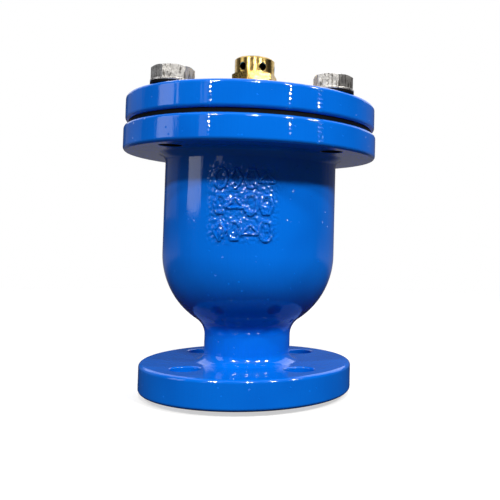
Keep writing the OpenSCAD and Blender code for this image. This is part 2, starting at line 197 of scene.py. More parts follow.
class BoltSizes(bpy.types.PropertyGroup):
    """Sizes of the cover's bolts and of the washers under them."""

    number: count("Bolts", "Number of cover bolts", 4)
    circle_r: length("Bolt circle radius", "Radius of the cover's bolt circle", 52)
    start: angle("First bolt", "Direction of the first bolt", 45)
    turn: angle("Turn", "Turn of each bolt's head from the direction of its place", 23)
    across_flats: length("Across flats", "Width of a bolt head across its flats", 17)
    head_h: length("Head height", "Height of a bolt head", 6.4)
    shank_r: length("Shank radius", "Radius of a bolt's thread", 5)
    shank_l: length("Shank length", "Length of a bolt below its head", 25)
    tip: length("Tip chamfer", "Chamfer at the tip of a bolt", 1)
    thread_pitch: length("Thread pitch", "Distance between the turns of a bolt's thread", 1.5)
    washer_r: length("Washer radius", "Outside radius of a washer", 10)
    hole_r: length("Hole radius", "Radius of the holes in cover and washers", 5.5)
    thread_hole_r: length("Threaded hole radius", "Radius of the holes in the body's flange", 5.15)
    screw_hole_r: length("Screw hole radius", "Radius of the bracket screw holes in the cover", 2.15)
    screw_head_r: length("Screw head radius", "Radius of a bracket screw's head", 3.5)
    screw_hole_t: length("Screw hole depth", "Depth of a bracket screw hole in the cover", 6.5)


class CapSizes(bpy.types.PropertyGroup):
    """Sizes of the brass vent cap."""

    across_flats: length("Across flats", "Width of the hexagon across its flats", 20.5)
    hex_h: length("Hexagon height", "Height of the hexagon", 6.8)
    hood_r: length("Hood radius", "Radius of the round hood", 10.2)
    hood_chamfer: length("Hood chamfer", "Chamfer round the top of the hood", 0.8)
    roof_t: length("Roof thickness", "Thickness of the hood's top", 2)
    bore_r: length("Bore radius", "Radius of the bore", 5.5)
    thread_r: length("Thread radius", "Radius of the thread", 8.3)
    vents: count("Vents", "Number of vent holes", 6)
    vent_r: length("Vent radius", "Radius of a vent hole", 1.9)
    vent_h: length("Vent height", "Height of the vent holes above the hexagon", 2.3)
    vent_lip: length("Vent lip", "Countersink of a vent hole", 0.3)
    vent_start: angle("First vent", "Direction of the first vent hole", -67)
    turn: angle("Turn", "Turn of the hexagon about the valve's axis", 14)


class Finishes(bpy.types.PropertyGroup):
    """Colours of the finishes."""

    enamel: colour("Enamel", "Blue epoxy enamel", (0.0, 0.150, 0.73))
    bare_iron: colour("Bare iron", "Iron in the tapped holes", (0.006, 0.006, 0.007))
    # Painted shade: a darker blue for the down-facing underside of the bowl
    enamel_thick: colour("Painted underside shade", "Darker blue painted as shade where the bowl faces down", (0.0, 0.024, 0.22))
    enamel_deep: colour("Deep enamel", "Enamel where it lies thick", (0.0, 0.130, 0.66))
    rubber: colour("Rubber", "Black rubber", (0.003, 0.003, 0.004))
    dust: colour("Dust", "Pale dust on the rubber", (0.02, 0.02, 0.022))
    zinc: colour("Zinc", "Zinc plating", (0.82, 0.80, 0.76))
    zinc_dull: colour("Dull zinc", "Scuffed and darkened zinc", (0.20, 0.185, 0.165))
    brass: colour("Brass", "Turned brass", (0.80, 0.55, 0.17))
    brass_dark: colour("Dark brass", "Tarnished brass", (0.40, 0.27, 0.07))
    # Painted shade: near-black for the inside of the cap's bore and vent holes
    brass_black: colour("Painted shade in the cap", "Near-black painted shade inside the cap's bore and vents", (0.012, 0.008, 0.003))
    steel: colour("Steel", "Plain stainless steel", (0.66, 0.66, 0.67))
    steel_dark: colour("Dark steel", "Brushed lines in the steel", (0.42, 0.42, 0.43))
    copper: colour("Copper", "Soft sealing washer", (0.55, 0.30, 0.17))
    copper_dark: colour("Dark copper", "Darkened sealing washer", (0.26, 0.13, 0.07))


class StudioSettings(bpy.types.PropertyGroup):
    """Camera, lamps and floor."""

    distance: length("Distance", "Distance of the camera from the valve's axis", 358.44)
    height: length("Height", "Height of the camera above the pipe", 77.2)
    yaw: angle("Yaw", "Turn of the camera to the right", 9.156)
    pitch: angle("Pitch", "Tilt of the camera upwards", 2.756)
    roll: angle("Roll", "Roll of the camera", -1.123)
    focal: length("Focal length", "Focal length on a 36 mm sensor", 49.66)
    shift_x: factor("Shift X", "Sideways shift of the picture", -0.224)
    shift_y: factor("Shift Y", "Upward shift of the picture", -0.0843)
    floor_r: length("Floor radius", "Radius of the pale floor", 900)
    wall_r: length("Wall radius", "Distance of the room that gloss reflects", 1600)
    wall_h: length("Wall height", "Height of the room that gloss reflects", 2400)
    floor_drop: length("Floor drop", "Depth of the floor under the sealing face", 0.3)
    room_drop: length("Room drop", "Depth of the room's floor under the sealing face", 0.1)
    ambient: factor("Ambient", "Strength of the even light on the valve", 0.10)
    glow: factor("Floor glow", "Strength of the floor's own light", 0.58)
    floor: colour("Floor", "Pale floor", (0.5, 0.5, 0.5))
    room: colour("Room", "Dim room in front of the valve", (0.02, 0.02, 0.025))
    room_left: colour("Room behind left", "Room behind the valve on the left", (0.035, 0.035, 0.04))
    room_right: colour("Room behind right", "Room behind the valve on the right", (0.10, 0.10, 0.115))
    room_ceiling: colour("Room ceiling", "Ceiling of the room", (0.40, 0.40, 0.42))
    room_floor_back: colour("Room floor behind", "Floor of the room behind the valve", (0.17, 0.17, 0.19))
    room_floor: colour("Room floor", "Floor of the room", (0.025, 0.025, 0.028))


# Node trees

def arithmetic(operation, reflected=False):
    """A method that adds a Math node on a wire and another value."""

    def method(self, value):
        pair = (value, self) if reflected else (self, value)
        return self.graph.math(operation, *pair)

    return method


class Wire:
    """An output socket on which Python's operators add Math nodes."""

    def __init__(self, graph, socket):
        self.graph = graph
        self.socket = socket

    def other(self, name):
        """Another output of the same node."""
        return Wire(self.graph, self.socket.node.outputs[name])

    def math(self, operation, *values):
        """A Math node on this value and others."""
        return self.graph.math(operation, self, *values)

    __add__ = __radd__ = arithmetic("ADD")
    __sub__ = arithmetic("SUBTRACT")
    __rsub__ = arithmetic("SUBTRACT", reflected=True)
    __mul__ = __rmul__ = arithmetic("MULTIPLY")
    __truediv__ = arithmetic("DIVIDE")
    __rtruediv__ = arithmetic("DIVIDE", reflected=True)
    __gt__ = arithmetic("GREATER_THAN")
    __lt__ = arithmetic("LESS_THAN")
    most = arithmetic("MAXIMUM")

    def ramp(self, start, end, unit=1.0):
        """A smooth rise from 0 at start to 1 at end."""
        sockets = {"Value": self, "From Min": start * unit, "From Max": end * unit}
        return self.graph.node("ShaderNodeMapRange", {"interpolation_type": "SMOOTHSTEP"}, sockets)


class Graph:
    """A node tree with one method that adds any node."""

    def __init__(self, tree):
        self.tree = tree
        tree.nodes.clear()

    def node(self, kind, settings=None, sockets=None, output=0):
        """Adds a node: its settings first, then values or links of its sockets."""
        made = self.tree.nodes.new(kind)
        for name, value in (settings or {}).items():
            setattr(made, name, value)
        for name, value in (sockets or {}).items():
            if isinstance(value, Wire):
                self.tree.links.new(value.socket, made.inputs[name])
            else:
                made.inputs[name].default_value = value
        if not made.outputs:
            return None
        return Wire(self, made.outputs[output])

    def math(self, operation, *values):
        """A Math node on numbers and wires."""
        return self.node("ShaderNodeMath", {"operation": operation}, dict(enumerate(values)))

    def mix(self, factor, first, second):
        """A colour between two colours."""
        sockets = {0: factor, 6: opaque(first), 7: opaque(second)}
        return self.node("ShaderNodeMix", {"data_type": "RGBA"}, sockets, 2)

    def xyz(self, vector):
        """The three parts of a vector."""
        parts = self.node("ShaderNodeSeparateXYZ", None, {0: vector})
        return parts, parts.other("Y"), parts.other("Z")


def opaque(value):
    """A colour with alpha, or the wire as it is."""
    return value if isinstance(value, Wire) else (*value, 1.0)


class Finish(Graph):
    """A material on Object coordinates, whose patterns are given in millimetres."""

    def __init__(self, name):
        self.material = bpy.data.materials.new(name)
        self.material.use_nodes = True
        super().__init__(self.material.node_tree)
        self.place = self.node("ShaderNodeTexCoord", None, None, "Object")

    def noise(self, gap, detail=2.0, rough=0.5, stretch=None):
        """Noise from 0 to 1 whose lumps are about gap apart, with each axis scaled by stretch."""
        place = self.place
        if stretch:
            sockets = {"Vector": place, "Scale": stretch}
            place = self.node("ShaderNodeMapping", {"vector_type": "POINT"}, sockets)
        sockets = {"Vector": place, "Scale": 1.0 / (gap * MM), "Detail": detail, "Roughness": rough}
        return self.node("ShaderNodeTexNoise", None, sockets)

    def cells(self, gap, share):
        """Cells about gap apart: distance from their middles, chance colours, and 1 in a share of them."""
        sockets = {"Vector": self.place, "Scale": 1.0 / (gap * MM)}
        away = self.node("ShaderNodeTexVoronoi", None, sockets)
        chance = self.node("ShaderNodeSeparateColor", None, {0: away.other("Color")})
        return away, chance, chance > 1.0 - share

    def specks(self, gap, share, radius):
        """Sparse round specks: share of the cells hold one, radius in cells."""
        away, _, picked = self.cells(gap, share)
        return (1.0 - away.ramp(0.0, radius)) * picked

    def flakes(self, gap, share, radius):
        """Heights of small flat flakes that lean back a little from the vertical."""
        away, chance, picked = self.cells(gap, share)
        sockets = {0: self.place, 1: away.other("Position")}
        x, _, z = self.xyz(self.node("ShaderNodeVectorMath", {"operation": "SUBTRACT"}, sockets))
        lean = chance.other("Green") * 0.16 + 0.28
        sway = (chance.other("Blue") - 0.5) * 0.10
        return (x * sway - z * lean) * (away < radius) * picked / MM

    def end(self, shader):
        """Ends the material in a shader."""
        self.node("ShaderNodeOutputMaterial", None, {"Surface": shader})
        return self.material

    def done(self, height, **sockets):
        """Ends the material in one Principled shader. The height bends its normals."""
        bump = self.node("ShaderNodeBump", None, {"Height": height, "Strength": 1.0, "Distance": MM})
        named = {name.replace("_", " "): value for name, value in sockets.items()}
        return self.end(self.node("ShaderNodeBsdfPrincipled", None, {"Normal": bump, **named}))


def finish(name):
    """The material of that name, made once."""
    return bpy.data.materials.get(name) or MAKERS[name](bpy.context.scene.valve_finishes)


# Finishes

# Beaded runs in the rims' enamel: degrees to the right of the front, half their width in degrees, and lean
BEAD_RUNS = ((-17.2, 0.2, 0.235), (14.6, 0.3, 0.235), (27.9, 0.9, 0.265))
# Degrees over which a run fades, spacing of its beads in millimetres, and the share of it that a bead fills
BEAD_FADE = 0.7
BEAD_GAP = 1.9
BEAD_SHARE = 0.45
# The rims lie outside this share of the flange's radius, and the flange above this depth under the body's top
RIM_SHARE = 0.95
JOINT_DEPTH = 20 * MM
# Rough ground behind the cast marks, in millimetres: its middle, and where each edge fades
GROUND_X = -3.6
GROUND_SIDE = (12, 18)
GROUND_FRONT = (-38, -34)
GROUND_BOTTOM = (73, 79)
GROUND_TOP = (108, 113)
# Painted shade under the bowl, darker blue where the surface faces down low on the bowl: how far it faces
# down, and heights in millimetres
UNDERSIDE_SHADE_FACING = (-0.85, -0.15)
UNDERSIDE_SHADE_HEIGHT = (45, 75)
# Enamel stops this far outside a tapped hole
BARE_EDGE = 0.1 * MM
# Spacing of the lathe's rings on brass
LATHE_GAP = 0.42 * MM


def mark_ground(look, x, y, z):
    """Lumps of the rough cast ground behind the raised marks."""
    across = (x - GROUND_X * MM).math("ABSOLUTE")
    wide = (1.0 - across.ramp(*GROUND_SIDE, MM)) * (1.0 - y.ramp(*GROUND_FRONT, MM))
    tall = z.ramp(*GROUND_BOTTOM, MM) * (1.0 - z.ramp(*GROUND_TOP, MM))
    return (look.noise(1.8, 0.5) - 0.5) * wide * tall


def rim_beads(look, x, y, z):
    """Beads one above the other along the runs, as shares of their spacing."""
    turned = (z / (BEAD_GAP * MM) + look.noise(12.0)).math("FRACT")
    around = x.math("ARCTAN2", 0.0 - y)
    run = 0.0
    for middle, half, lean in BEAD_RUNS:
        off = (around - math.radians(middle)).math("ABSOLUTE")
        run = ((1.0 - off.ramp(half, half + BEAD_FADE, math.radians(1))) * lean).most(run)
    return (BEAD_SHARE - turned).most(0.0) * run * look.noise(3.0).ramp(0.42, 0.50)


def tapped_holes(x, y, out):
    """1 in the holes that the cover bolts screw into; out is the squared distance from the axis."""
    bolts = bpy.context.scene.valve_bolts
    step = math.pi / bolts.number
    turn = (y.math("ARCTAN2", x) - bolts.start).math("WRAP", step, -step)
    off = out + bolts.circle_r**2 - out.math("SQRT") * turn.math("COSINE") * (2 * bolts.circle_r)
    return off < (bolts.thread_hole_r + BARE_EDGE) ** 2


def blue_enamel(colours):
    """Glossy fused epoxy: orange peel, runs and streaks, nibs, beads on the rims, bare tapped holes, and
    painted shade under the bowl.
    """
    look = Finish("blue_enamel")
    peel = look.noise(1.5)
    runs = look.noise(7.0, stretch=(1.0, 1.0, 0.12))
    sag = look.noise(24.0, 1.0)
    streaks = look.noise(1.8, stretch=(1.0, 1.0, 0.05))
    nibs = look.specks(4.0, 0.04, 0.17)
    flakes = look.flakes(1.5, 0.03, 0.34)
    x, y, z = look.xyz(look.place)
    out = x * x + y * y
    joint = z > high("valve_body") - JOINT_DEPTH
    on_rim = (out > (RIM_SHARE * reach("valve_body")) ** 2) * joint
    beads = rim_beads(look, x, y, z) * on_rim
    bare = tapped_holes(x, y, out) * joint
    _, _, facing = look.xyz(look.node("ShaderNodeNewGeometry", None, None, "Normal"))
    # Painted shade: thick is where the surface faces down low on the bowl, and the blue is painted darker
    # there
    thick = (1.0 - facing.ramp(*UNDERSIDE_SHADE_FACING)) * (1.0 - z.ramp(*UNDERSIDE_SHADE_HEIGHT, MM))
    tone = look.mix(sag.ramp(0.3, 0.75), colours.enamel, colours.enamel_deep)
    tone = look.mix(thick, tone, colours.enamel_thick)
    skin = peel * 0.012 + runs * 0.13 + streaks * 0.06 + sag * 0.12 + nibs * 0.14 + flakes
    return look.done(
        skin + mark_ground(look, x, y, z) * 1.25 + beads * BEAD_GAP,
        Base_Color=look.mix(bare, tone, colours.bare_iron),
        Roughness=peel * 0.05 + bare * 0.5 + 0.06,
        IOR=1.5,
        Specular_IOR_Level=0.8,
    )


def sheet_rubber(colours):
    """Matt sheet rubber with a fine grain and some dust."""
    look = Finish("sheet_rubber")
    grain = look.noise(0.5, 3.0)
    layers = look.noise(0.6, stretch=(0.1, 0.1, 1.0))
    dust = look.noise(5.0, 4.0).ramp(0.55, 0.85) * grain.ramp(0.5, 0.8)
    return look.done(
        grain * 0.03 + layers * 0.05,
        Base_Color=look.mix(dust * 0.5, colours.rubber, colours.dust),
        Roughness=grain * 0.25 + 0.5,
        Specular_IOR_Level=0.08,
    )


def zinc_plate(colours):
    """Zinc plating with scuffs down the flats and a cloudy surface."""
    look = Finish("zinc_plate")
    cloud = look.noise(4.0, 3.0)
    scuffs = look.noise(0.9, 3.0, 0.6, (1.0, 1.0, 0.25))
    pits = look.specks(1.4, 0.35, 0.35)
    worn = (scuffs.ramp(0.54, 0.60) * 0.9).most(pits * 0.35)
    return look.done(
        scuffs * 0.13 + cloud * 0.16 - pits * 0.02,
        Base_Color=look.mix(worn, colours.zinc, colours.zinc_dull),
        Roughness=cloud * 0.16 + 0.26,
        Metallic=1.0,
    )


def turned_brass(colours):
    """Brass with fine lathe rings, tarnish in patches and a few dents."""
    return brass("turned_brass", colours, 0.0)


def cap_brass(colours):
    """The same brass for the vent cap, with near-black painted shade inside its vent holes and bore."""
    return brass("cap_brass", colours, 0.95 * bpy.context.scene.valve_cap.hood_r)


def brass(name, colours, shade_r):
    """Turned brass with near-black painted shade nearer to the valve's axis than the given radius, except on
    the cap's top.
    """
    look = Finish(name)
    x, y, z = look.xyz(look.place)
    # Painted shade: black marks the inside of the cap, which is painted near-black so the bore and vent holes
    # look dark
    black = (x * x + y * y < shade_r**2) * (z < high("vent_cap") - MM)
    rings = (z * (math.tau / LATHE_GAP) + look.noise(3.0) * 3.0).math("SINE")
    tarnish = look.noise(4.5, 4.0, 0.6).ramp(0.46, 0.74)
    grime = look.noise(1.1, 3.0).ramp(0.60, 0.75)
    dents = look.specks(2.6, 0.2, 0.22)
    stain = (tarnish * 0.55).most(grime * 0.5)
    metal = look.mix(stain, colours.brass, colours.brass_dark)
    return look.done(
        rings * 0.012 - dents * 0.05 + tarnish * 0.01,
        Base_Color=look.mix(black, metal, colours.brass_black),
        Roughness=tarnish * 0.08 + black * 0.3 + 0.18,
        Metallic=1.0,
    )


def plain_steel(colours):
    """Stainless steel with fine brushed lines."""
    look = Finish("plain_steel")
    lines = look.noise(0.5, 3.0, stretch=(0.12, 1.0, 1.0))
    cloud = look.noise(6.0)
    return look.done(
        lines * 0.015,
        Base_Color=look.mix(lines.ramp(0.4, 0.75), colours.steel, colours.steel_dark),
        Roughness=cloud * 0.15 + 0.22,
        Metallic=1.0,
    )


def soft_copper(colours):
    """Annealed copper, darkened in patches."""
    look = Finish("soft_copper")
    cloud = look.noise(2.5, 4.0)
    return look.done(
        cloud * 0.03,
        Base_Color=look.mix(cloud.ramp(0.4, 0.7), colours.copper, colours.copper_dark),
        Roughness=cloud * 0.2 + 0.3,
        Metallic=1.0,
    )


MAKERS = {
    maker.__name__: maker
    for maker in (blue_enamel, sheet_rubber, zinc_plate, turned_brass, cap_brass, plain_steel, soft_copper)
}


# Shapes

def arc(x, z, r, start, end, step=5.0):
    """Points of an arc in a profile, between two angles in degrees."""
    parts = max(3, math.ceil(abs(end - start) / step))
    angles = [math.radians(start + (end - start) * i / parts) for i in range(parts + 1)]
    return [(x + r * math.cos(a), z + r * math.sin(a)) for a in angles]


def side(r, z0, z1, step=3 * MM):
    """Inner points of a straight side of a profile, close enough to carry the casting's waves."""
    parts = max(1, math.ceil(abs(z1 - z0) / step))
    return [(r, z0 + (z1 - z0) * i / parts) for i in range(1, parts)]


def rim(r, z0, z1, edge):
    """Profile of a disc's rim with rounded edges, from its bottom to its top."""
    lower = arc(r - edge, z0 + edge, edge, -90, 0, 9)
    upper = arc(r - edge, z1 - edge, edge, 0, 90, 9)
    return lower + side(r, z0 + edge, z1 - edge) + upper


def new_object(name, mesh):
    """An object at the origin, linked to the scene."""
    made = bpy.data.objects.new(name, mesh)
    bpy.context.scene.collection.objects.link(made)
    return made


def from_bmesh(name, shape):
    """An object from a bmesh, with outward faces and smooth shading."""
    bmesh.ops.remove_doubles(shape, verts=shape.verts, dist=MERGE)
    bmesh.ops.recalc_face_normals(shape, faces=shape.faces)
    mesh = bpy.data.meshes.new(name)
    shape.to_mesh(mesh)
    shape.free()
    mesh.shade_smooth()
    return new_object(name, mesh)


def revolve(name, profile, segments=ROUND_SEGMENTS):
    """A solid of revolution about Z from a closed profile of radius and height."""
    shape = bmesh.new()
    columns = []
    for i in range(segments):
        a = math.tau * i / segments
        columns.append([shape.verts.new((r * math.cos(a), r * math.sin(a), z)) for r, z in profile])
    for i, column in enumerate(columns):
        after = columns[(i + 1) % segments]
        for j in range(len(profile)):
            k = (j + 1) % len(profile)
            if max(profile[j][0], profile[k][0]) > MERGE:
                shape.faces.new((column[j], after[j], after[k], column[k]))
    bmesh.ops.dissolve_degenerate(shape, dist=MERGE / 10, edges=shape.edges)
    return from_bmesh(name, shape)


def hexagon_block(name, across_flats, z0, z1):
    """A hexagon about Z with its upright edges rounded."""
    shape = bmesh.new()
    corner = across_flats / 2 / math.cos(math.pi / 6)
    ends = []
    for z in (z0, z1):
        turns = [math.tau * i / 6 for i in range(6)]
        ends.append([shape.verts.new((corner * math.cos(a), corner * math.sin(a), z)) for a in turns])
    for i in range(6):
        k = (i + 1) % 6
        shape.faces.new((ends[0][i], ends[0][k], ends[1][k], ends[1][i]))
    uprights = [shape.edges.get(pair) for pair in zip(*ends)]
    shape.faces.new(ends[0][::-1])
    shape.faces.new(ends[1])
    bmesh.ops.bevel(shape, geom=uprights, offset=HEX_EDGE, segments=3, affect="EDGES", profile=0.5)
    return from_bmesh(name, shape)


def chamfered_hexagon(name, across_flats, z0, z1):
    """A hexagon whose top corners are turned down to a cone."""
    block = hexagon_block(name, across_flats, z0, z1)
    flat = across_flats / 2 * HEX_FLAT
    outer = across_flats
    below = z0 - MM
    width, drop = HEX_CREST
    cone = [(0, below), (outer, below), (outer, z1 - (outer - flat) * math.tan(HEX_SLOPE))]
    crest = [(flat, z1 - drop), (flat - width, z1), (0, z1)]
    carve(block, "INTERSECT", revolve(name + "_turned", cone + crest, SMALL_SEGMENTS * 2))
    return settle(block)


def carve(target, operation, *tools):
    """Adds one Boolean modifier for each tool."""
    for tool in tools:
        cut = target.modifiers.new(tool.name, "BOOLEAN")
        cut.operation = operation
        cut.object = tool
        cut.solver = "EXACT"


def settle(piece):
    """Turns a piece's modifiers into plain mesh and removes their tools."""
    tools = [m.object for m in piece.modifiers if m.type == "BOOLEAN"]
    graph = bpy.context.evaluated_depsgraph_get()
    mesh = bpy.data.meshes.new_from_object(piece.evaluated_get(graph), depsgraph=graph)
    piece.modifiers.clear()
    piece.data = mesh
    mesh.name = piece.name
    for tool in tools:
        bpy.data.objects.remove(tool)
    return piece


def even_normals(piece):
    """Sharp edges by angle, and normals that follow the large faces, so flats shade flat."""
    piece.data.shade_smooth()
    piece.data.set_sharp_from_angle(angle=SHARP_ANGLE)
    weighted = piece.modifiers.new("normals", "WEIGHTED_NORMAL")
    weighted.keep_sharp = True
    weighted.weight = NORMAL_WEIGHT
    return settle(piece)


def hole_tool(name, r, z0, z1, lip):
    """A cutter about Z for a drilled hole with rounded lips at both faces."""
    over = 3 * lip
    wide = r + 1.6 * lip
    bottom = arc(r + lip, z0 + lip, lip, 260, 180, 20)
    top = arc(r + lip, z1 - lip, lip, 180, 100, 20)
    first = [(0, z0 - over), (wide, z0 - over)]
    last = [(wide, z1 + over), (0, z1 + over)]
    return revolve(name, first + bottom + top + last, SMALL_SEGMENTS)


def on_circle(tool, number, circle_r, start):
    """Copies a cutter round a circle, as one object."""
    shape = bmesh.new()
    for i in range(number):
        a = start + math.tau * i / number
        copy = tool.data.copy()
        copy.transform(Matrix.Translation((circle_r * math.cos(a), circle_r * math.sin(a), 0)))
        shape.from_mesh(copy)
        bpy.data.meshes.remove(copy)
    made = from_bmesh(tool.name + "_ring", shape)
    bpy.data.objects.remove(tool)
    return made


def bolt_holes(name, bolts, r, z0, z1, lip):
    """Cutters of one hole for each cover bolt."""
    return on_circle(hole_tool(name, r, z0, z1, lip), bolts.number, bolts.circle_r, bolts.start)


def cast_skin(piece, amount, gap, z0, z1):
    """Moves the outside of a casting in slight waves between two heights."""
    for vertex in piece.data.vertices:
        out = Vector((vertex.co.x, vertex.co.y, 0))
        if out.length < SKIN_R:
            continue
        fade = min(1.0, max(0.0, min(vertex.co.z - z0, z1 - vertex.co.z) / SKIN_FADE))
        lump = noise.noise(vertex.co / gap)
        vertex.co += out.normalized() * (lump * amount * fade)


def coat(piece, material):
    """Gives a piece one material."""
    piece.data.materials.clear()
    piece.data.materials.append(finish(material))


def dress(piece, material, slot, *nodes):
    """Gives a piece its material, its body and the nodes that it stands for."""
    coat(piece, material)
    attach(piece, "housing")
    if nodes:
        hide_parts(*nodes)


# Geometry Nodes

SOCKETS = {int: "Int", float: "Float", bpy.types.Object: "Object", bpy.types.Material: "Material"}


def new_tree(name, values):
    """A geometry tree with one named input for each value; a number is also its default."""
    tree = bpy.data.node_groups.new(name, "GeometryNodeTree")
    tree.interface.new_socket("Geometry", in_out="OUTPUT", socket_type="NodeSocketGeometry")
    for label, value in values.items():
        kind = "NodeSocket" + SOCKETS[type(value)]
        socket = tree.interface.new_socket(label, in_out="INPUT", socket_type=kind)
        if isinstance(value, (int, float)):
            socket.default_value = value
    return tree


def close_tree(g, geometry, material):
    """Ends a tree in its material."""
    dressed = g.node("GeometryNodeSetMaterial", None, {"Geometry": geometry, "Material": material})
    g.node("NodeGroupOutput", None, {"Geometry": dressed})
    return g.tree


def grow(name, build, values):
    """An object whose mesh a geometry tree makes from the given inputs. The tree is built once."""
    label = build.__name__
    tree = bpy.data.node_groups.get(label) or build(new_tree(label, values))
    piece = new_object(name, bpy.data.meshes.new(name))
    modifier = piece.modifiers.new("nodes", "NODES")
    modifier.node_group = tree
    for item in tree.interface.items_tree:
        if item.in_out == "INPUT":
            modifier[item.identifier] = values[item.name]
    return settle(piece)


def ring_of_pieces(tree):
    """Sets copies of one shape round a circle, each turned from its own direction."""
    g = Graph(tree)
    start = g.node("NodeGroupInput", None, None, "Start")
    number = start.other("Number")
    radius = start.other("Circle radius")
    points = g.node("GeometryNodePoints", None, {"Count": number})
    around = g.node("GeometryNodeInputIndex") / number * math.tau + start
    sockets = {"X": radius * around.math("COSINE"), "Y": radius * around.math("SINE")}
    place = g.node("ShaderNodeCombineXYZ", None, sockets)
    placed = g.node("GeometryNodeSetPosition", None, {"Geometry": points, "Position": place})
    shape = g.node("GeometryNodeObjectInfo", None, {"Object": start.other("Shape")}, "Geometry")
    facing = g.node("ShaderNodeCombineXYZ", None, {"Z": around + start.other("Turn")})
    rotation = g.node("FunctionNodeEulerToRotation", None, {0: facing})
    sockets = {"Points": placed, "Instance": shape, "Rotation": rotation}
    copies = g.node("GeometryNodeInstanceOnPoints", None, sockets)
    plain = g.node("GeometryNodeRealizeInstances", None, {"Geometry": copies})
    return close_tree(g, plain, start.other("Material"))


def ring_of(name, shape, bolts, material):
    """Copies of a shape at the places of the cover bolts, as one mesh."""
    values = {
        "Shape": shape,
        "Number": bolts.number,
        "Circle radius": bolts.circle_r,
        "Start": bolts.start,
        "Turn": bolts.turn,
        "Material": finish(material),
    }
    piece = grow(name, ring_of_pieces, values)
    bpy.data.objects.remove(shape)
    return piece


# Outlines of the cast marks: corners and turn. Each is narrowed, rounded and swept by a round line
MARK_SHAPES = ((4, 0.0), (6, 0.0), (3, math.pi / 2), (24, 0.0))
MARK_SCALE = (0.62, 1.0, 1.0)
MARK_ROUNDING = 0.12
LINE_SEGMENTS = 12
# Step through the outlines from one mark to the next, which keeps the rows from repeating
MARK_STEP = 1.7


def raised_marks(tree):
    """Wraps rows of plain raised outlines round a bowl."""
    g = Graph(tree)
    size = g.node("NodeGroupInput", None, None, "Mark radius")
    sockets = {"Resolution": LINE_SEGMENTS, "Radius": size.other("Stroke") * 0.5}
    stroke = g.node("GeometryNodeCurvePrimitiveCircle", None, sockets)
    shapes = []
    for corners, turn in MARK_SHAPES:
        sockets = {"Resolution": corners, "Radius": size}
        outline = g.node("GeometryNodeCurvePrimitiveCircle", None, sockets)
        sockets = {"Curve": outline, "Radius": size * MARK_ROUNDING, "Count": 3}
        rounded = g.node("GeometryNodeFilletCurve", {"mode": "POLY"}, sockets)
        sockets = {"Geometry": rounded, "Rotation": (0.0, 0.0, turn), "Scale": MARK_SCALE}
        placed = g.node("GeometryNodeTransform", None, sockets)
        swept = g.node("GeometryNodeCurveToMesh", None, {"Curve": placed, "Profile Curve": stroke})
        shapes.append(g.node("GeometryNodeGeometryToInstance", None, {"Geometry": swept}))
    joined = g.node("GeometryNodeJoinGeometry")
    for shape in reversed(shapes):
        tree.links.new(shape.socket, joined.socket.node.inputs[0])
    columns = size.other("Columns")
    rows = size.other("Rows")
    sockets = {
        "Size X": size.other("Pitch") * (columns - 1.0),
        "Size Y": size.other("Row pitch") * (rows - 1.0),
        "Vertices X": columns,
        "Vertices Y": rows,
    }
    grid = g.node("GeometryNodeMeshGrid", None, sockets)
    pick = (g.node("GeometryNodeInputIndex") * MARK_STEP).math("FLOOR")
    kind = pick.math("MODULO", float(len(shapes)))
    sockets = {"Points": grid, "Instance": joined, "Pick Instance": True, "Instance Index": kind}
    copies = g.node("GeometryNodeInstanceOnPoints", None, sockets)
    plain = g.node("GeometryNodeRealizeInstances", None, {"Geometry": copies})
    x, y, z = g.xyz(g.node("GeometryNodeInputPosition"))
    bowl = size.other("Bowl radius")
    turn = x / bowl + size.other("Turn")
    out = bowl + z - size.other("Sink")
    sockets = {
        "X": out * turn.math("SINE"),
        "Y": out * turn.math("COSINE") * -1.0,
        "Z": size.other("Middle height") + y,
    }
    wrapped = g.node("ShaderNodeCombineXYZ", None, sockets)
    bent = g.node("GeometryNodeSetPosition", None, {"Geometry": plain, "Position": wrapped})
    return close_tree(g, bent, size.other("Material"))


# Operators

